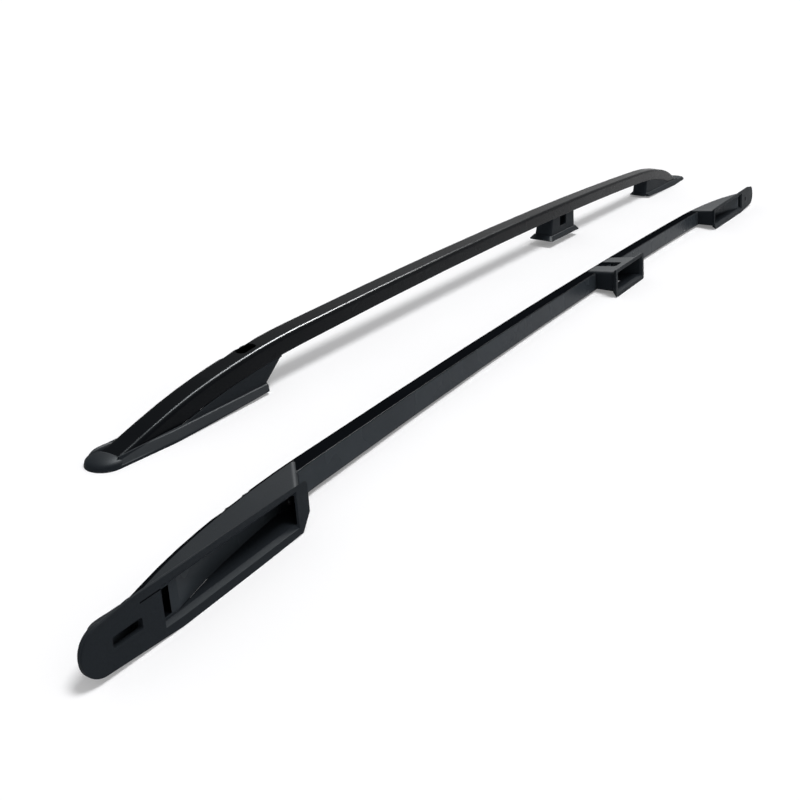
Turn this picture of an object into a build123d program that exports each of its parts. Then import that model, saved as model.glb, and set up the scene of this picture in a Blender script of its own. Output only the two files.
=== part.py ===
from build123d import *
import os
from math import asin, atan2, cos, degrees, hypot, radians, sin, tan

# A pair of mirrored van roof side rails, in millimetres. One stands on its feet, one lies on its side.
# A rail is drawn with X from its front tip to its rear tip, Z up from the roof and Y inboard.

# Rail and bar section
rail_length = 2600.0
bar_width = 32.0
bar_height = 27.5
bar_wall = 2.8
bar_top_fillet = 6.0
bar_bottom_fillet = 2.0

# Bends of the bar, as slopes of its neutral line and radii between them
front_tip_slope = radians(15.7)
front_mid_slope = radians(8.8)
front_crown_slope = radians(1.8)
front_tip_run = 70.0
front_tip_radius = 950.0
front_shoulder_radius = 1650.0
rear_tip_slope = radians(21.0)
rear_mid_slope = radians(9.2)
rear_crown_slope = radians(1.5)
rear_tip_run = 27.0
rear_tip_radius = 680.0
rear_shoulder_radius = 1640.0

# Seat of the bar in the end feet
seat_height = 6.0
tip_land = 1.8
front_nose = 28.0
rear_nose = 88.0
nose_lip = 1.4
front_nose_slope = radians(6.0)
rear_nose_slope = radians(2.0)
fit = 0.2

# Foot mouldings
outboard_half_width = 28.0
inboard_half_width = 26.5
nose_half_width = 22.5
nose_reach = 26.0
inboard_taper = 60.0
middle_half_width = 26.0
skirt_land = 3.0
skirt_height = 12.5
middle_skirt_land = 1.5
middle_skirt_height = 9.0
skirt_top_half = 20.5
panel_foot_half = 18.0
panel_top_half = 15.5
panel_rise = 28.0
foot_wall = 3.0
rim_chamfer = 4.0
end_cut_along = 18.0
end_cut_across = 20.0
crest_cut = 0.3
lap_wall = 3.0
lap_height = 16.0
web = 3.5
web_bite = 0.5
crest_fillet = 2.0
middle_crest_fillet = 1.0
land_fillet = 3.0
corner_fillet = 6.0
ledge = 3.5

# Front foot along the rail
front_base_break = 120.0
front_end_base = 337.0
front_end_foot = 331.0
front_end_top = 372.0
front_end_rim = 27.0
front_tongue = 101.0
front_web_start = 326.0
front_screw_x = 344.0
slot_x = 53.0
slot_length = 36.0
slot_width = 10.5
slot_corner = 2.5
slit_start = 71.0
slit_y = 17.6
slit_width = 1.6
slit_depth = 2.0
end_lift = 5.0

# Rear foot, measured back from the rear tip
rear_base_break = 150.0
rear_end_base = 435.0
rear_end_foot = 427.0
rear_end_top = 423.0
rear_end_rim = 12.0
rear_tongue = 142.0
rear_web_end = 370.0
rear_screw_back = 394.0
rear_hole_back = 96.0
rear_hole_diameter = 13.0

# Middle foot
middle_x = 1502.0
middle_lift = 14.0
middle_base_half_length = 90.0
middle_end_rim = 14.0
middle_foot_half_length = 81.0
middle_top_half_length = 72.0
middle_screw_half_pitch = 52.0
window_x = 1500.0
window_width = 40.0
window_depth = 22.0
window_corner = 4.0

# Access hole through the bar above the front foot
access_x = 305.0
access_length = 36.0
access_width = 16.0
access_inboard = 2.0

# Screws and nut plates
screw_diameter = 5.0
screw_hole = 5.4
screw_head_diameter = 9.5
screw_head_height = 3.2
screw_length = 15.0
screw_half_spread = 6.0
plate_thickness = 4.0
plate_width = 22.0
plate_margin = 14.0
head_gap = 0.05

# Placing of the lying rail beside the standing one
stagger = 305.0
lay_distance = 272.0

far = 400.0


def bend(start_slope, end_slope, radius):
    """Run along X and rise along Z of an arc that turns downwards from one slope to another."""
    run = radius * (sin(start_slope) - sin(end_slope))
    rise = radius * (cos(end_slope) - cos(start_slope))
    return run, rise


# Neutral line of the bar, as joints of (x, z, slope), from the seams at its two cut ends inwards
half_height = bar_height / 2
seam_height = seat_height + tip_land
front_seam = front_nose
rear_seam = rail_length - rear_nose
fx = front_seam + half_height * sin(front_tip_slope)
fz = seam_height - half_height * cos(front_tip_slope)
rx = rear_seam - half_height * sin(rear_tip_slope)
rz = seam_height - half_height * cos(rear_tip_slope)
front_overrun = (fx - bar_height * cos(front_tip_slope), fz - bar_height * sin(front_tip_slope))
rear_overrun = (rx + bar_height * cos(rear_tip_slope), rz - bar_height * sin(rear_tip_slope))
front_bend = (fx + front_tip_run * cos(front_tip_slope), fz + front_tip_run * sin(front_tip_slope))
rear_bend = (rx - rear_tip_run * cos(rear_tip_slope), rz + rear_tip_run * sin(rear_tip_slope))
run, rise = bend(front_tip_slope, front_mid_slope, front_tip_radius)
front_shoulder = (front_bend[0] + run, front_bend[1] + rise)
run, rise = bend(front_mid_slope, front_crown_slope, front_shoulder_radius)
front_crown = (front_shoulder[0] + run, front_shoulder[1] + rise)
run, rise = bend(-rear_mid_slope, -rear_tip_slope, rear_tip_radius)
rear_shoulder = (rear_bend[0] - run, rear_bend[1] - rise)
run, rise = bend(-rear_crown_slope, -rear_mid_slope, rear_shoulder_radius)
rear_crown = (rear_shoulder[0] - run, rear_shoulder[1] - rise)

# Two arcs that meet level at the crown carry the bar from one end's bends to the other's
crown_run = rear_crown[0] - front_crown[0]
crown_step = rear_crown[1] - front_crown[1]
front_drop = 1 - cos(front_crown_slope)
rear_drop = 1 - cos(rear_crown_slope)
front_arch_radius = (crown_run * rear_drop + crown_step * sin(rear_crown_slope)) / (
    front_drop * sin(rear_crown_slope) + rear_drop * sin(front_crown_slope)
)
rear_arch_radius = (crown_run - front_arch_radius * sin(front_crown_slope)) / sin(rear_crown_slope)
crown = (
    front_crown[0] + front_arch_radius * sin(front_crown_slope),
    front_crown[1] + front_arch_radius * front_drop,
)

joints = [
    (*front_overrun, front_tip_slope),
    (*front_bend, front_tip_slope),
    (*front_shoulder, front_mid_slope),
    (*front_crown, front_crown_slope),
    (*crown, 0.0),
    (*rear_crown, -rear_crown_slope),
    (*rear_shoulder, -rear_mid_slope),
    (*rear_bend, -rear_tip_slope),
    (*rear_overrun, -rear_tip_slope),
]
arc_radii = [
    front_tip_radius,
    front_shoulder_radius,
    front_arch_radius,
    rear_arch_radius,
    rear_shoulder_radius,
    rear_tip_radius,
]


def bar_at(x):
    """Height and slope of the bar's neutral line at a place along the rail."""
    index = max(i for i, joint in enumerate(joints[:-1]) if i == 0 or joint[0] <= x)
    start_x, start_z, start_slope = joints[index]
    if index in (0, len(joints) - 2):
        return start_z + (x - start_x) * tan(start_slope), start_slope
    radius = arc_radii[index - 1]
    slope = asin(sin(start_slope) - (x - start_x) / radius)
    return start_z + radius * (cos(slope) - cos(start_slope)), slope


def bar_plane(x, height, y=0.0):
    """Plane across the bar's depth, square to its slope, at a height above its neutral line."""
    z, slope = bar_at(x)
    origin = (x - height * sin(slope), y, z + height * cos(slope))
    return Plane(origin=origin, x_dir=(cos(slope), 0, sin(slope)), z_dir=(-sin(slope), 0, cos(slope)))


def underside(x):
    """Height of the bar's underside at a place along the rail."""
    z, slope = bar_at(x)
    return z - half_height / cos(slope)


def bar_edge(height):
    """Draws a line parallel to the bar's neutral line at a height above it, and returns its ends."""
    points = [(x - height * sin(slope), z + height * cos(slope)) for x, z, slope in joints]
    Line(points[0], points[1])
    for i in range(1, len(joints) - 2):
        slope = joints[i][2]
        TangentArc(points[i], points[i + 1], tangent=(cos(slope), sin(slope)))
    Line(points[-2], points[-1])
    return points[0], points[-1]


def bar_strip(low, high, plane=Plane.XZ):
    """Side view of the bar between two heights above its neutral line."""
    with BuildSketch(plane) as strip:
        with BuildLine():
            low_front, low_rear = bar_edge(low)
            high_front, high_rear = bar_edge(high)
            Line(low_front, high_front)
            Line(low_rear, high_rear)
        make_face()
    return strip.sketch


def trim_to_seats(clearance):
    """Cuts a strip along the bar off at the seat and at the seams of the two noses."""
    split(bisect_by=Plane.XY.offset(seat_height))
    split(bisect_by=Plane.YZ.offset(front_seam + clearance))
    split(bisect_by=Plane.YZ.offset(rear_seam - clearance), keep=Keep.BOTTOM)


def height_off_neutral(edge):
    """How far the middle of an edge lies above the bar's neutral line."""
    middle = edge @ 0.5
    return middle.Z - bar_at(middle.X)[0]


# Places of the screws, as (x, y)
front_screw_places = [(front_screw_x, -screw_half_spread), (front_screw_x, screw_half_spread)]
middle_screw_places = [(middle_x - middle_screw_half_pitch, 0), (middle_x + middle_screw_half_pitch, 0)]
rear_screw_x = rail_length - rear_screw_back
rear_screw_places = [(rear_screw_x, -screw_half_spread), (rear_screw_x, screw_half_spread)]
screw_places = front_screw_places + middle_screw_places + rear_screw_places


def drill_screw_holes(places):
    """Cuts clearance holes for screws, square to the bar."""
    for x, y in places:
        with BuildSketch(bar_plane(x, -half_height, y)) as hole:
            Circle(screw_hole / 2)
        extrude(hole.sketch, amount=bar_wall + web, both=True, mode=Mode.SUBTRACT)


# Bar: a closed tube
with BuildPart() as bar:
    extrude(bar_strip(-half_height, half_height), amount=bar_width / 2, both=True)
    side_edges = [edge for edge in bar.edges() if abs(abs((edge @ 0.5).Y) - bar_width / 2) < fit]
    top_edges = [edge for edge in side_edges if height_off_neutral(edge) > bar_height / 4]
    bottom_edges = [edge for edge in side_edges if height_off_neutral(edge) < -bar_height / 4]
    fillet(top_edges, bar_top_fillet)
    fillet(bottom_edges, bar_bottom_fillet)
    bore = bar_strip(bar_wall - half_height, half_height - bar_wall)
    extrude(bore, amount=bar_width / 2 - bar_wall, both=True, mode=Mode.SUBTRACT)
    trim_to_seats(fit)
    with BuildSketch(bar_plane(access_x, 0, access_inboard)):
        SlotOverall(access_length, access_width)
    extrude(amount=bar_height, mode=Mode.SUBTRACT)
    drill_screw_holes(screw_places)


# Room that the feet leave free: the bar itself, all above it outboard, and all above the lap inboard
body_top = crown[1] + bar_height
lap_inner = bar_width / 2 + fit
lap_outer = lap_inner + lap_wall
hollow_half = panel_foot_half - foot_wall
with BuildPart() as bar_room:
    extrude(bar_strip(-half_height, far), amount=lap_inner, both=True)
    trim_to_seats(0)
with BuildPart() as outboard_room:
    extrude(bar_strip(-half_height, far, Plane.XZ.offset(-lap_inner)), amount=far)
    split(bisect_by=Plane.XY.offset(skirt_height))
with BuildPart() as lap_room:
    extrude(bar_strip(lap_height - half_height, far), amount=far, both=True)
    split(bisect_by=Plane.XY.offset(skirt_height))


def crest_edges(skirt):
    """Edges round the top of a skirt, apart from one that only turns the top down towards a nose."""
    tops = [face for face in skirt.faces() if face.normal_at().Z > cos(front_nose_slope + rear_nose_slope)]
    edges = [edge for face in tops for edge in face.edges()]
    return [edge for edge in edges if edges.count(edge) == 1]


def land_edges(skirt, land_z):
    """Edges between a skirt's upright land and its flare."""
    level = [edge for edge in skirt.edges() if abs((edge @ 0.5).Z - (edge @ 0).Z) < fit]
    return [edge for edge in level if abs((edge @ 0.5).Z - land_z) < fit]


def end_plan(z, tip_x, break_x, end_x, inset, cut):
    """Plan of an end foot at a height: a rounded nose that widens, and an inner end cut back outboard."""
    way = 1 if end_x > tip_x else -1
    nose_x = tip_x + way * (inset + nose_reach)
    taper_x = tip_x + way * inboard_taper
    outboard = inset - outboard_half_width
    inboard = inboard_half_width - inset
    with BuildSketch(Plane.XY.offset(z)) as plan:
        with BuildLine():
            half_width = nose_half_width - inset
            nose = EllipticalCenterArc((nose_x, 0), nose_reach, half_width, 90 * way, arc_size=180)
            ends = sorted((nose @ 0, nose @ 1), key=lambda point: point.Y)
            Polyline(
                ends[0],
                (break_x, outboard),
                (end_x - way * cut * end_cut_along, outboard),
                (end_x, outboard + cut * end_cut_across),
                (end_x, inboard),
                (taper_x, inboard),
                ends[1],
            )
        make_face()
        fillet(plan.vertices().sort_by_distance((end_x, inboard))[:1], corner_fillet)
    return plan.sketch


def end_skirt(tip_x, break_x, base_end, top_end, nose):
    """Flared skirt of an end foot, with an upright land at its foot and a rounded nose below a plane."""
    flare = outboard_half_width - skirt_top_half
    land = end_plan(skirt_land, tip_x, break_x, base_end, 0, 1)
    top = end_plan(skirt_height, tip_x, break_x, top_end, flare, crest_cut)
    with BuildPart() as skirt:
        extrude(land, amount=-skirt_land)
        loft([land.face(), top.face()], ruled=True)
        split(bisect_by=nose, keep=Keep.BOTTOM)
        fillet(crest_edges(skirt), crest_fillet)
        fillet(land_edges(skirt, skirt_land), land_fillet)
    return skirt.part


def middle_skirt():
    """Flared skirt of the middle foot, with an upright land at its foot."""
    with BuildSketch(Plane((middle_x, 0, middle_lift + middle_skirt_land))) as land:
        RectangleRounded(2 * middle_base_half_length, 2 * middle_half_width, corner_fillet)
    with BuildSketch(Plane((middle_x, 0, middle_lift + middle_skirt_height))) as top:
        RectangleRounded(2 * middle_foot_half_length, 2 * skirt_top_half, corner_fillet)
    with BuildPart() as skirt:
        extrude(land.sketch, amount=-middle_skirt_land)
        loft([land.sketch.face(), top.sketch.face()], ruled=True)
        fillet(crest_edges(skirt), middle_crest_fillet)
    return skirt.part


def side_view(outline):
    """Closed side view of straight lines."""
    with BuildSketch(Plane.XZ) as view:
        with BuildLine():
            Polyline(*outline, close=True)
        make_face()
    return view.sketch


def cross_section(outline):
    """Closed section across the rail of straight lines."""
    with BuildSketch(Plane.YZ) as section:
        with BuildLine():
            Polyline(*outline, close=True)
        make_face()
    return section.sketch


def end_wall(foot_x, top_x, skirt_top):
    """Side view of an end wall: a straight line from the skirt's top that meets the bar's underside."""
    lean = (top_x - foot_x) / (underside(top_x) - skirt_top)
    return [(foot_x - lean * skirt_top, 0), (foot_x + lean * (body_top - skirt_top), body_top)]


def hollow_end(rim_x, rim_z, foot_x, top_x, skirt_top, inwards):
    """Side view of a hollow's end: upright at its rim, then inside an end wall that is a wall thick."""
    lean = (top_x - foot_x) / (underside(top_x) - skirt_top)
    inner_x = foot_x + inwards * foot_wall * hypot(1, lean)
    upper_x = inner_x + lean * (body_top - skirt_top)
    return [(rim_x, -far), (rim_x, rim_z), (inner_x, skirt_top), (upper_x, body_top)]


def foot_body(outline, end_walls, skirt_top):
    """Body of a foot above its skirt: a leaning outboard panel, a lap inboard and rounded end walls."""
    lean = (panel_foot_half - panel_top_half) / panel_rise
    section = cross_section([
        (lap_outer, 0),
        (lap_outer, body_top),
        (lean * (body_top - skirt_top) - panel_foot_half, body_top),
        (-lean * skirt_top - panel_foot_half, 0),
    ])
    with BuildPart() as body:
        extrude(section, amount=rail_length)
        extrude(side_view(outline), amount=far, both=True, mode=Mode.INTERSECT)
        fillet([edge for wall in end_walls for edge in wall_corners(body, wall)], corner_fillet)
    return body.part


def wall_corners(body, wall):
    """Upright corner edges of a body at the two sides of an end wall."""
    wall_x = (wall[0][0] + wall[1][0]) / 2
    upright_edges = [edge for edge in body.edges() if abs((edge % 0.5).Y) < 0.5]
    middles = [edge @ 0.5 for edge in upright_edges]
    offsets = [hypot(middle.X - wall_x, middle.Z - body_top / 2) for middle in middles]
    return [edge for edge, offset in zip(upright_edges, offsets) if offset < fit]


def foot_hollow(outline, skirt_top):
    """Hollow of a foot, straight up between its outboard panel and its lap."""
    lean = (panel_foot_half - panel_top_half) / panel_rise
    section = cross_section([
        (lap_inner, -far),
        (lap_inner, body_top),
        (lean * (body_top - skirt_top) - hollow_half, body_top),
        (-hollow_half, skirt_top),
        (-hollow_half, -far),
    ])
    with BuildPart() as hollow:
        extrude(section, amount=rail_length)
        extrude(side_view(outline), amount=far, both=True, mode=Mode.INTERSECT)
    return hollow.part


def foot_mouth(base, start_x, end_x):
    """Wedge round the mouth of a hollow, which bevels its rim at a foot's base."""
    length = abs(end_x - start_x) + 2 * rim_chamfer
    width = lap_inner + hollow_half + 2 * rim_chamfer
    middle = ((start_x + end_x) / 2 - base.origin.X, (lap_inner - hollow_half) / 2)
    with BuildSketch(base) as rim:
        with Locations(middle):
            Rectangle(length, width)
    with BuildPart() as mouth:
        extrude(rim.sketch, amount=rim_chamfer, taper=45)
    return mouth.part


def screw_web(start_x, end_x):
    """Web across a foot, close under the bar, that the screws go through."""
    outboard = panel_top_half - foot_wall + web_bite
    inboard = lap_inner + web_bite
    with BuildPart() as strip:
        plane = Plane.XZ.offset(outboard)
        extrude(bar_strip(-half_height - web, -half_height, plane), amount=-outboard - inboard)
        split(bisect_by=Plane.YZ.offset(start_x))
        split(bisect_by=Plane.YZ.offset(end_x), keep=Keep.BOTTOM)
    return strip.part


def nose_plane(seam_x, slope):
    """Plane along the top of a nose, a lip above the bar at the seam."""
    origin = (seam_x, 0, seam_height + nose_lip)
    return Plane(origin, x_dir=(cos(slope), 0, sin(slope)), z_dir=(-sin(slope), 0, cos(slope)))


def tilted_base(break_x, end_x):
    """Plane of the base where it lifts off to follow the roof, from the flat tongue to the inner end."""
    pitch = end_lift / (end_x - break_x)
    return Plane((break_x, 0, 0), x_dir=(1, 0, pitch), z_dir=(-pitch, 0, 1))


# Front foot
front_wall = end_wall(front_end_foot, front_end_top, skirt_height)
front_start = [(front_seam, 0), (front_seam, body_top)]
front_rim_x = front_end_base - front_end_rim
front_hollow_end = hollow_end(front_rim_x, end_lift, front_end_foot, front_end_top, skirt_height, -1)
front_hollow_start = [(front_tongue, body_top), (front_tongue, -far)]
front_outline = front_hollow_start + front_hollow_end
front_nose_top = nose_plane(front_seam, front_nose_slope)
front_base = tilted_base(front_base_break, front_end_base)
with BuildPart() as front_foot:
    add(end_skirt(0, front_base_break, front_end_base, front_end_foot, front_nose_top))
    add(foot_body(front_start + front_wall[::-1], [front_wall], skirt_height))
    split(bisect_by=front_base)
    for room in (bar_room, outboard_room, lap_room):
        add(room.part, mode=Mode.SUBTRACT)
    add(foot_hollow(front_outline, skirt_height), mode=Mode.SUBTRACT)
    add(foot_mouth(front_base, front_tongue, front_rim_x), mode=Mode.SUBTRACT)
    add(screw_web(front_web_start, front_end_top - foot_wall))
    with BuildSketch(Plane.XY):
        with Locations((slot_x, 0)):
            RectangleRounded(slot_length, slot_width, slot_corner)
    extrude(amount=far, both=True, mode=Mode.SUBTRACT)
    with BuildSketch(Plane.XY):
        with Locations(((slit_start + front_tongue) / 2, slit_y)):
            Rectangle(front_tongue - slit_start, slit_width)
    extrude(amount=slit_depth, mode=Mode.SUBTRACT)
    drill_screw_holes(front_screw_places)

# Rear foot
rear_base_x = rail_length - rear_end_base
rear_foot_x = rail_length - rear_end_foot
rear_top_x = rail_length - rear_end_top
rear_tongue_x = rail_length - rear_tongue
rear_wall = end_wall(rear_foot_x, rear_top_x, skirt_height)
rear_start = [(rear_seam, 0), (rear_seam, body_top)]
rear_rim_x = rear_base_x + rear_end_rim
rear_hollow_end = hollow_end(rear_rim_x, end_lift, rear_foot_x, rear_top_x, skirt_height, 1)
rear_hollow_start = [(rear_tongue_x, body_top), (rear_tongue_x, -far)]
rear_outline = rear_hollow_start + rear_hollow_end
rear_nose_top = nose_plane(rear_seam, -rear_nose_slope)
rear_base = tilted_base(rail_length - rear_base_break, rear_base_x)
with BuildPart() as rear_foot:
    add(end_skirt(rail_length, rail_length - rear_base_break, rear_base_x, rear_foot_x, rear_nose_top))
    add(foot_body(rear_start + rear_wall[::-1], [rear_wall], skirt_height))
    split(bisect_by=rear_base)
    for room in (bar_room, outboard_room, lap_room):
        add(room.part, mode=Mode.SUBTRACT)
    add(foot_hollow(rear_outline, skirt_height), mode=Mode.SUBTRACT)
    add(foot_mouth(rear_base, rear_tongue_x, rear_rim_x), mode=Mode.SUBTRACT)
    add(screw_web(rear_top_x + foot_wall - web_bite, rail_length - rear_web_end))
    with BuildSketch(Plane.XY):
        with Locations((rail_length - rear_hole_back, 0)):
            Circle(rear_hole_diameter / 2)
    extrude(amount=far, both=True, mode=Mode.SUBTRACT)
    drill_screw_holes(rear_screw_places)

# Middle foot
middle_base = Plane.XY.offset(middle_lift)
middle_skirt_top = middle_lift + middle_skirt_height
middle_walls = []
middle_hollow_ends = []
middle_rim = []
for side in (-1, 1):
    base_x = middle_x + side * middle_base_half_length
    foot_x = middle_x + side * (middle_foot_half_length - ledge)
    top_x = middle_x + side * middle_top_half_length
    middle_walls.append(end_wall(foot_x, top_x, middle_skirt_top))
    rim_x = base_x - side * middle_end_rim
    middle_rim.append(rim_x)
    middle_hollow_ends.append(hollow_end(rim_x, middle_lift, foot_x, top_x, middle_skirt_top, -side))
middle_body_outline = middle_walls[0] + middle_walls[1][::-1]
middle_outline = middle_hollow_ends[0][::-1] + middle_hollow_ends[1]
web_reach = middle_top_half_length - foot_wall + web_bite
window_reach = window_width / 2 + foot_wall
with BuildPart() as middle_foot:
    add(middle_skirt())
    add(foot_body(middle_body_outline, middle_walls, middle_skirt_top))
    split(bisect_by=middle_base)
    for room in (bar_room, outboard_room, lap_room):
        add(room.part, mode=Mode.SUBTRACT)
    add(foot_hollow(middle_outline, middle_skirt_top), mode=Mode.SUBTRACT)
    add(foot_mouth(middle_base, *middle_rim), mode=Mode.SUBTRACT)
    add(screw_web(middle_x - web_reach, window_x - window_reach))
    add(screw_web(window_x + window_reach, middle_x + web_reach))
    with BuildSketch(Plane.XZ.offset(-far)):
        with Locations((window_x, underside(window_x))):
            RectangleRounded(window_width, 2 * window_depth, window_corner)
    extrude(amount=2 * far, mode=Mode.SUBTRACT)
    drill_screw_holes(middle_screw_places)


def screw_set(places):
    """Pan-head screws, square to the bar, with their heads under a foot's web."""
    with BuildPart() as screws:
        for x, y in places:
            with BuildSketch(bar_plane(x, -half_height - web - head_gap, y)) as seat:
                Circle(screw_head_diameter / 2)
            extrude(seat.sketch, amount=-screw_head_height)
            with BuildSketch(bar_plane(x, -half_height - web - head_gap, y)) as shank:
                Circle(screw_diameter / 2)
            extrude(shank.sketch, amount=screw_length)
    return screws


def nut_plate(places):
    """Plate on the floor of the bar's bore, with a hole for each screw."""
    floor = bar_wall - half_height
    with BuildPart() as plate:
        strip = bar_strip(floor, floor + plate_thickness)
        extrude(strip, amount=plate_width / 2, both=True)
        split(bisect_by=Plane.YZ.offset(min(x for x, y in places) - plate_margin))
        split(bisect_by=Plane.YZ.offset(max(x for x, y in places) + plate_margin), keep=Keep.BOTTOM)
        for x, y in places:
            with BuildSketch(bar_plane(x, floor, y)) as hole:
                Circle(screw_diameter / 2 + head_gap)
            extrude(hole.sketch, amount=2 * plate_thickness, both=True, mode=Mode.SUBTRACT)
    return plate


pieces = {
    "bar": bar,
    "front_foot": front_foot,
    "middle_foot": middle_foot,
    "rear_foot": rear_foot,
    "front_screws": screw_set(front_screw_places),
    "middle_screws": screw_set(middle_screw_places),
    "rear_screws": screw_set(rear_screw_places),
    "front_nut_plate": nut_plate(front_screw_places),
    "middle_nut_plate": nut_plate(middle_screw_places),
    "rear_nut_plate": nut_plate(rear_screw_places),
}

# Angle at which a rail comes to rest on its side: on the lands of its skirts and its bar's top edge
crown_top = crown[1] + half_height
reach_y = outboard_half_width - bar_width / 2 + bar_top_fillet
reach_z = crown_top - skirt_land - bar_top_fillet
lie_angle = atan2(reach_y, reach_z) - asin(bar_top_fillet / hypot(reach_y, reach_z))
lie_height = outboard_half_width * cos(lie_angle) + skirt_land * sin(lie_angle)

# Both rails, about the middle of the floor that they cover
middle_along = (rail_length - stagger) / 2
middle_across = (inboard_half_width - lay_distance - outboard_half_width * sin(lie_angle)) / 2
upright_place = Location((-middle_along, -middle_across, 0))
lying_place = Location(
    (-middle_along - stagger, -middle_across - lay_distance, lie_height),
    (-90 - degrees(lie_angle), 0, 0),
)

os.makedirs("parts", exist_ok=True)
for name, piece in pieces.items():
    upright = upright_place * piece.part
    upright.label = "upright_" + name
    export_step(upright, "parts/upright_" + name + ".step")
    lying = lying_place * mirror(piece.part, about=Plane.XZ)
    lying.label = "lying_" + name
    export_step(lying, "parts/lying_" + name + ".step")
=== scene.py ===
# Looks of a pair of black van roof rails, one standing and one lying on its side, in metres

from math import cos, pi, radians, sin

import bmesh
import bpy
from mathutils import Matrix, Vector


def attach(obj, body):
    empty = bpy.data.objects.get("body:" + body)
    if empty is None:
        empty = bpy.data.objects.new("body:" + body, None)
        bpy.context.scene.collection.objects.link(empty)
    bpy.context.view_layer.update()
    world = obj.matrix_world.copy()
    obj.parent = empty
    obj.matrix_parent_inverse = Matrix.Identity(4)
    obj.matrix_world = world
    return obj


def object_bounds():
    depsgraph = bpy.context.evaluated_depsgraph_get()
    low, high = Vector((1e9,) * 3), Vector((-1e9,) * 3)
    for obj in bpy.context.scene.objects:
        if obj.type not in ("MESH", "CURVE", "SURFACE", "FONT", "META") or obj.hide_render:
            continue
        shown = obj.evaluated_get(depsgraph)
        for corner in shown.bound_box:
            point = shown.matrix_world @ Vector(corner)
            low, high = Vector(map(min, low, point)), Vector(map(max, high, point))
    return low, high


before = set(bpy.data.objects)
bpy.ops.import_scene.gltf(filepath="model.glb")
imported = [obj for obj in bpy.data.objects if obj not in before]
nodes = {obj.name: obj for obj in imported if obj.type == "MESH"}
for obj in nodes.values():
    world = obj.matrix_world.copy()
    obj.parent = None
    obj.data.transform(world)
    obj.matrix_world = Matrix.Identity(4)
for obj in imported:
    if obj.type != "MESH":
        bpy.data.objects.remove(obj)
cad_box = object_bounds()
scene = bpy.context.scene

# Camera, at the photograph's viewing angle
camera_place = (-1.9666, -0.6495, 0.5234)
camera_yaw = radians(60.471)
camera_pitch = radians(21.245)
camera_roll = radians(2.593)
camera_sensor = 36.0
camera_lens = 48.927
camera_shift = (0.0800, 0.0012)
camera_reach = 1000.0

# Light
sun_place = (0.1, -0.22, 1.0)
sun_strength = 2.0
sun_angle = radians(22)
strip_target = Vector((-0.8, 0.12, 0.06))
strip_distance = 4.5
strip_azimuth = radians(1)
low_strip = {"elevation": radians(41.5), "size": (0.7, 1.03), "power": 1050.0}
high_strip = {"elevation": radians(60), "size": (0.7, 1.91), "power": 850.0}
sky_stops = [(0.0, (1.0, 1.0, 1.0)), (0.2, (0.5, 0.5, 0.5)), (1.0, (0.35, 0.35, 0.35))]

# Pale floor
floor_size = 600.0
floor_dark = (0.79, 0.79, 0.80)
floor_light = (0.81, 0.81, 0.82)
floor_cloud = {"scale": 3, "detail": 2}
floor_lift = 0.2

# Satin black coat of the bars
coat_dark = (0.0034, 0.0041, 0.0052)
coat_light = (0.0046, 0.0055, 0.0069)
# Painted light: a lighter colour for the bar's underside, standing in for the light that falls on it
painted_lit_underside_dark = (0.0260, 0.0310, 0.0360)
painted_lit_underside_light = (0.0310, 0.0370, 0.0430)
coat_roughness = (0.24, 0.30)
coat_gloss = 0.02
coat_drift = {"scale": 9, "detail": 3}
coat_peel = {"scale": 500, "detail": 2}
coat_bump = {"strength": 0.05, "distance": 0.0002}

# Grained black plastic of the feet
plastic_dark = (0.0115, 0.0140, 0.0170)
plastic_light = (0.0175, 0.0210, 0.0250)
plastic_roughness = (0.48, 0.58)
plastic_gloss = 0.025
plastic_drift = {"scale": 14, "detail": 4}
plastic_grain = {"scale": 1600, "detail": 3}
plastic_bump = {"strength": 0.35, "distance": 0.00025}

# Zinc-plated steel of the screws and the nut plates
zinc_dark = (0.42, 0.43, 0.44)
zinc_light = (0.60, 0.61, 0.62)
zinc_roughness = (0.30, 0.46)
zinc_cloud = {"scale": 260, "detail": 4}
zinc_lines = {"scale": 2400, "detail": 2, "stretch": (0.08, 1, 1)}
zinc_bump = {"strength": 0.25, "distance": 0.0001}

# Shared by the materials
black_tint = (0.84, 0.94, 1.0, 1.0)
noise_low = 0.3
noise_high = 0.7
grain_low = 0.35
facing_start = 0.80
facing_full = 0.96

# Placing of the two rails, from a rail's own axes: along it from its front tip, inboard and up
upright_origin = (-1.1475, 0.12491, 0.0)
lying_origin = (-1.4525, -0.14709, 0.02813)
lie_angle = 0.1552

# Rounded nose on the front foot, and the rounded front end of its lap
nose_margin = 0.0003
nose_reach = 0.0257
nose_half_width = 0.0221
nose_base = 0.0032
nose_top = 0.0128
nose_end = 0.0349
nose_end_half_width = 0.0192
nose_end_top = 0.0096
nose_steps = 14
nose_end_steps = 8
lap_end_peak = 0.034
lap_end_across = 0.0171
lap_end_front = 0.019
lap_end_back = 0.045
lap_end_half_width = 0.0042
lap_end_top = 0.0139
lap_end_steps = 12
first_step = 0.15
section_steps = 28
section_fullness = 0.72
crease_angle = radians(50)


def new_material(name):
    """A new material, its node tree and its Principled shader."""
    material = bpy.data.materials.new(name)
    material.use_nodes = True
    return material, material.node_tree, material.node_tree.nodes["Principled BSDF"]


def place(tree, kind, **settings):
    """A new node with its settings."""
    node = tree.nodes.new(kind)
    for name, value in settings.items():
        setattr(node, name, value)
    return node


def noise(tree, scale, detail, stretch=(1, 1, 1)):
    """Noise in object space, at a number of grains a metre."""
    where = place(tree, "ShaderNodeTexCoord").outputs["Object"]
    mapping = place(tree, "ShaderNodeMapping")
    mapping.inputs["Scale"].default_value = stretch
    tree.links.new(where, mapping.inputs["Vector"])
    texture = place(tree, "ShaderNodeTexNoise")
    texture.inputs["Scale"].default_value = scale
    texture.inputs["Detail"].default_value = detail
    tree.links.new(mapping.outputs["Vector"], texture.inputs["Vector"])
    return texture.outputs["Fac"]


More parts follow.
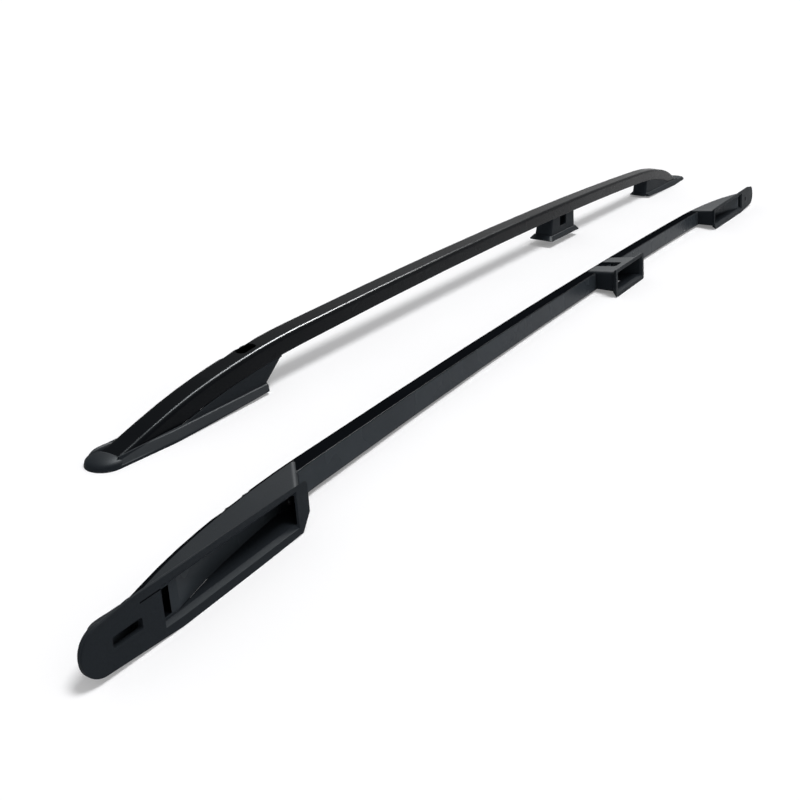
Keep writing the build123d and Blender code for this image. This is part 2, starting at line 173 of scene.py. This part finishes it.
def ramp(tree, value, stops):
    """Colour ramp between stops of (position, colour)."""
    node = place(tree, "ShaderNodeValToRGB")
    elements = node.color_ramp.elements
    while len(elements) < len(stops):
        elements.new(0.5)
    for element, (position, colour) in zip(elements, stops):
        element.position = position
        element.color = (*colour, 1)
    tree.links.new(value, node.inputs["Fac"])
    return node.outputs["Color"]


def shades(tree, value, dark, light, low=noise_low):
    """Colour that runs from dark to light over the middle of a noise."""
    return ramp(tree, value, [(low, dark), (noise_high, light)])


def spread(tree, value, start, end, low, high):
    """Value that runs from low to high while another runs from start to end."""
    node = place(tree, "ShaderNodeMapRange")
    node.inputs["From Min"].default_value = start
    node.inputs["From Max"].default_value = end
    node.inputs["To Min"].default_value = low
    node.inputs["To Max"].default_value = high
    tree.links.new(value, node.inputs["Value"])
    return node.outputs["Result"]


def bump(tree, height, strength, distance):
    """Bump from a height."""
    node = place(tree, "ShaderNodeBump")
    node.inputs["Strength"].default_value = strength
    node.inputs["Distance"].default_value = distance
    tree.links.new(height, node.inputs["Height"])
    return node.outputs["Normal"]


def facing(tree, direction):
    """1 on faces that look along a direction, 0 on the others, with a short blend between."""
    normal = place(tree, "ShaderNodeNewGeometry").outputs["Normal"]
    along = place(tree, "ShaderNodeVectorMath", operation="DOT_PRODUCT")
    tree.links.new(normal, along.inputs[0])
    along.inputs[1].default_value = direction
    return spread(tree, along.outputs["Value"], facing_start, facing_full, 0, 1)


def blend_colours(tree, factor, first, second):
    """Colour between two others."""
    node = place(tree, "ShaderNodeMix", data_type="RGBA")
    tree.links.new(factor, node.inputs["Factor"])
    tree.links.new(first, node.inputs[6])
    tree.links.new(second, node.inputs[7])
    return node.outputs[2]


def coated_aluminium(name, underside, inboard):
    """Satin black powder coat on an extrusion, with painted light that makes the underside a lighter
    grey, and matt on the inboard side.
    """
    material, tree, shader = new_material(name)
    drift = noise(tree, **coat_drift)
    outer = shades(tree, drift, coat_dark, coat_light)
    # Painted light: faces towards the underside get a lighter copy of the coat's colour
    painted_lit_underside = shades(tree, drift, painted_lit_underside_dark, painted_lit_underside_light)
    colour = blend_colours(tree, facing(tree, underside), outer, painted_lit_underside)
    tree.links.new(colour, shader.inputs["Base Color"])
    matt = facing(tree, inboard)
    sheen = place(tree, "ShaderNodeMix")
    tree.links.new(matt, sheen.inputs["Factor"])
    tree.links.new(spread(tree, drift, noise_low, noise_high, *coat_roughness), sheen.inputs["A"])
    sheen.inputs["B"].default_value = 1.0
    tree.links.new(sheen.outputs["Result"], shader.inputs["Roughness"])
    tree.links.new(spread(tree, matt, 0, 1, coat_gloss, 0), shader.inputs["Specular IOR Level"])
    tree.links.new(bump(tree, noise(tree, **coat_peel), **coat_bump), shader.inputs["Normal"])
    shader.distribution = "GGX"
    shader.inputs["Specular Tint"].default_value = black_tint
    return material


def grained_plastic():
    """Black moulded plastic with a fine spark-eroded grain and slightly greyer high spots."""
    material, tree, shader = new_material("grained_plastic")
    drift = noise(tree, **plastic_drift)
    grain = noise(tree, **plastic_grain)
    colour = shades(tree, grain, plastic_dark, plastic_light, grain_low)
    tree.links.new(colour, shader.inputs["Base Color"])
    roughness = spread(tree, drift, noise_low, noise_high, *plastic_roughness)
    tree.links.new(roughness, shader.inputs["Roughness"])
    tree.links.new(bump(tree, grain, **plastic_bump), shader.inputs["Normal"])
    shader.inputs["Specular IOR Level"].default_value = plastic_gloss
    shader.inputs["Specular Tint"].default_value = black_tint
    return material


def zinc_steel():
    """Zinc-plated steel with a cloudy sheen and fine drawing lines."""
    material, tree, shader = new_material("zinc_steel")
    cloud = noise(tree, **zinc_cloud)
    lines = noise(tree, **zinc_lines)
    tree.links.new(shades(tree, cloud, zinc_dark, zinc_light), shader.inputs["Base Color"])
    roughness = spread(tree, cloud, noise_low, noise_high, *zinc_roughness)
    tree.links.new(roughness, shader.inputs["Roughness"])
    tree.links.new(bump(tree, lines, **zinc_bump), shader.inputs["Normal"])
    shader.inputs["Metallic"].default_value = 1.0
    return material


def seen_rays(tree):
    """1 for the rays that show the background: the camera's, and those in gloss and glass."""
    path = place(tree, "ShaderNodeLightPath")
    seen = place(tree, "ShaderNodeMath", operation="MAXIMUM")
    tree.links.new(path.outputs["Is Camera Ray"], seen.inputs[0])
    tree.links.new(path.outputs["Is Glossy Ray"], seen.inputs[1])
    also = place(tree, "ShaderNodeMath", operation="MAXIMUM")
    tree.links.new(seen.outputs["Value"], also.inputs[0])
    tree.links.new(path.outputs["Is Transmission Ray"], also.inputs[1])
    return also.outputs["Value"]


def white_floor():
    """Pale floor that shows as white where no shadow lies on it."""
    material, tree, shader = new_material("white_floor")
    cloud = noise(tree, **floor_cloud)
    tree.links.new(shades(tree, cloud, floor_dark, floor_light), shader.inputs["Base Color"])
    shader.inputs["Roughness"].default_value = 1.0
    shader.inputs["Specular IOR Level"].default_value = 0.0
    lift = place(tree, "ShaderNodeMath", operation="MULTIPLY")
    lift.inputs[1].default_value = floor_lift
    tree.links.new(seen_rays(tree), lift.inputs[0])
    shader.inputs["Emission Color"].default_value = (1, 1, 1, 1)
    tree.links.new(lift.outputs["Value"], shader.inputs["Emission Strength"])
    return material


def turned(across, up):
    """Y and Z of a lying rail's own inboard and upward axes."""
    lean, stand = sin(lie_angle), cos(lie_angle)
    return across * lean + up * stand, across * stand - up * lean


def on_upright(along, across, up):
    """Place in the scene of a point on the upright rail."""
    x, y, z = upright_origin
    return x + along, y + across, z + up


def on_lying(along, across, up):
    """Place in the scene of a point on the lying rail."""
    x, y, z = lying_origin
    aside, above = turned(across, up)
    return x + along, y + aside, z + above


def rounded_body(name, stations, across, at, material):
    """Half-round body along a rail, from stations of (along, half width, top) over the nose's base."""
    form = bmesh.new()
    rows = []
    for along, half_width, top in stations:
        row = []
        for step in range(section_steps + 1):
            angle = pi * step / section_steps
            side = across + half_width * cos(angle)
            rise = nose_base + (top - nose_base) * sin(angle) ** section_fullness
            row.append(form.verts.new(at(along, side, rise)))
        rows.append(row)
    for row, following in zip(rows, rows[1:]):
        for i in range(-1, section_steps):
            form.faces.new((row[i], row[i + 1], following[i + 1], following[i]))
    form.faces.new(rows[0])
    form.faces.new(rows[-1])
    bmesh.ops.recalc_face_normals(form, faces=form.faces)
    for face in form.faces:
        face.smooth = True
    mesh = bpy.data.meshes.new(name)
    form.to_mesh(mesh)
    form.free()
    mesh.set_sharp_from_angle(angle=crease_angle)
    mesh.materials.append(material)
    body = bpy.data.objects.new(name, mesh)
    scene.collection.objects.link(body)
    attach(body, "root")


def quarter(steps):
    """Angles from just above nothing to a right angle."""
    return [radians(90) * max(i, first_step) / steps for i in range(steps + 1)]


def nose_stations():
    """Stations of the rounded nose, from its tip to where it sinks under the bar's end."""
    rise = nose_top - nose_base
    stations = []
    for angle in quarter(nose_steps):
        along = nose_margin + nose_reach * (1 - cos(angle))
        stations.append((along, nose_half_width * sin(angle), nose_base + rise * sin(angle)))
    start = nose_margin + nose_reach
    for i in range(1, nose_end_steps + 1):
        share = i / nose_end_steps
        half_width = nose_half_width + (nose_end_half_width - nose_half_width) * share**2
        top = nose_top + (nose_end_top - nose_top) * share**2
        stations.append((start + (nose_end - start) * share, half_width, top))
    return stations


def lap_end_stations():
    """Stations of the rounded end of a lap, from its front to where it sinks into the lap."""
    rise = lap_end_top - nose_base
    angles = quarter(lap_end_steps)
    forward = [(-lap_end_front * cos(angle), sin(angle)) for angle in angles]
    backward = [(lap_end_back * cos(angle), sin(angle)) for angle in angles[-2::-1]]
    return [
        (lap_end_peak + along, lap_end_half_width * share, nose_base + rise * share)
        for along, share in forward + backward
    ]


def dress():
    """Gives each node its material, and rounds the front noses and the laps' ends."""
    plastic = grained_plastic()
    steel = zinc_steel()
    finishes = {"foot": plastic, "screws": steel, "plate": steel}
    finishes["upright_bar"] = coated_aluminium("upright_coat", (0, 0, -1), (0, 1, 0))
    finishes["lying_bar"] = coated_aluminium("lying_coat", (0, *turned(0, -1)), (0, *turned(1, 0)))
    for name, node in nodes.items():
        finish = finishes.get(name) or finishes[name.split("_")[-1]]
        node.data.materials.clear()
        node.data.materials.append(finish)
    for rail, at in (("upright", on_upright), ("lying", on_lying)):
        rounded_body(f"{rail}_front_nose", nose_stations(), 0.0, at, plastic)
        rounded_body(f"{rail}_lap_end", lap_end_stations(), lap_end_across, at, plastic)


def lay_floor():
    """A wide pale floor under the rails."""
    mesh = bpy.data.meshes.new("floor")
    half = floor_size / 2
    corners = [(-half, -half, 0), (half, -half, 0), (half, half, 0), (-half, half, 0)]
    mesh.from_pydata(corners, [], [(0, 1, 2, 3)])
    floor = bpy.data.objects.new("floor", mesh)
    floor.location.z = cad_box[0][2]
    scene.collection.objects.link(floor)
    mesh.materials.append(white_floor())


def hang_light(name, kind, location, target):
    """A light at a place, aimed at a target."""
    data = bpy.data.lights.new(name, kind)
    light = bpy.data.objects.new(name, data)
    light.location = location
    light.rotation_euler = (Vector(target) - Vector(location)).to_track_quat("-Z", "Y").to_euler()
    scene.collection.objects.link(light)
    return light


def light_up():
    """A soft sun, and two strips that draw the bright line along the bar's edge."""
    sun = hang_light("sun", "SUN", sun_place, (0, 0, 0))
    sun.data.energy = sun_strength
    sun.data.angle = sun_angle
    for name, made in (("low_strip", low_strip), ("high_strip", high_strip)):
        height = made["elevation"]
        away = Vector((
            cos(height) * cos(strip_azimuth),
            cos(height) * sin(strip_azimuth),
            sin(height),
        ))
        strip = hang_light(name, "AREA", strip_target + strip_distance * away, strip_target)
        strip.data.shape = "RECTANGLE"
        strip.data.size, strip.data.size_y = made["size"]
        strip.data.energy = made["power"]
        strip.visible_diffuse = False


def spread_sky():
    """A pale sky, white at the horizon and greyer overhead."""
    world = bpy.data.worlds.new("sky")
    world.use_nodes = True
    scene.world = world
    tree = world.node_tree
    up = place(tree, "ShaderNodeSeparateXYZ")
    tree.links.new(place(tree, "ShaderNodeTexCoord").outputs["Generated"], up.inputs["Vector"])
    tree.links.new(ramp(tree, up.outputs["Z"], sky_stops), tree.nodes["Background"].inputs["Color"])


def set_camera():
    """The camera, with its roll and with the shift of the photograph's framing."""
    ahead = Vector((
        sin(camera_yaw) * cos(camera_pitch),
        cos(camera_yaw) * cos(camera_pitch),
        -sin(camera_pitch),
    ))
    level = Vector((cos(camera_yaw), -sin(camera_yaw), 0))
    upwards = level.cross(ahead)
    right = cos(camera_roll) * level + sin(camera_roll) * upwards
    up = cos(camera_roll) * upwards - sin(camera_roll) * level
    data = bpy.data.cameras.new("camera")
    data.sensor_width = camera_sensor
    data.lens = camera_lens
    data.shift_x, data.shift_y = camera_shift
    data.clip_end = camera_reach
    camera = bpy.data.objects.new("camera", data)
    turn = Matrix((right, up, -ahead)).transposed()
    camera.matrix_world = Matrix.Translation(camera_place) @ turn.to_4x4()
    scene.collection.objects.link(camera)
    scene.camera = camera


dress()
lay_floor()
light_up()
spread_sky()
set_camera()
scene.view_settings.view_transform = "Standard"
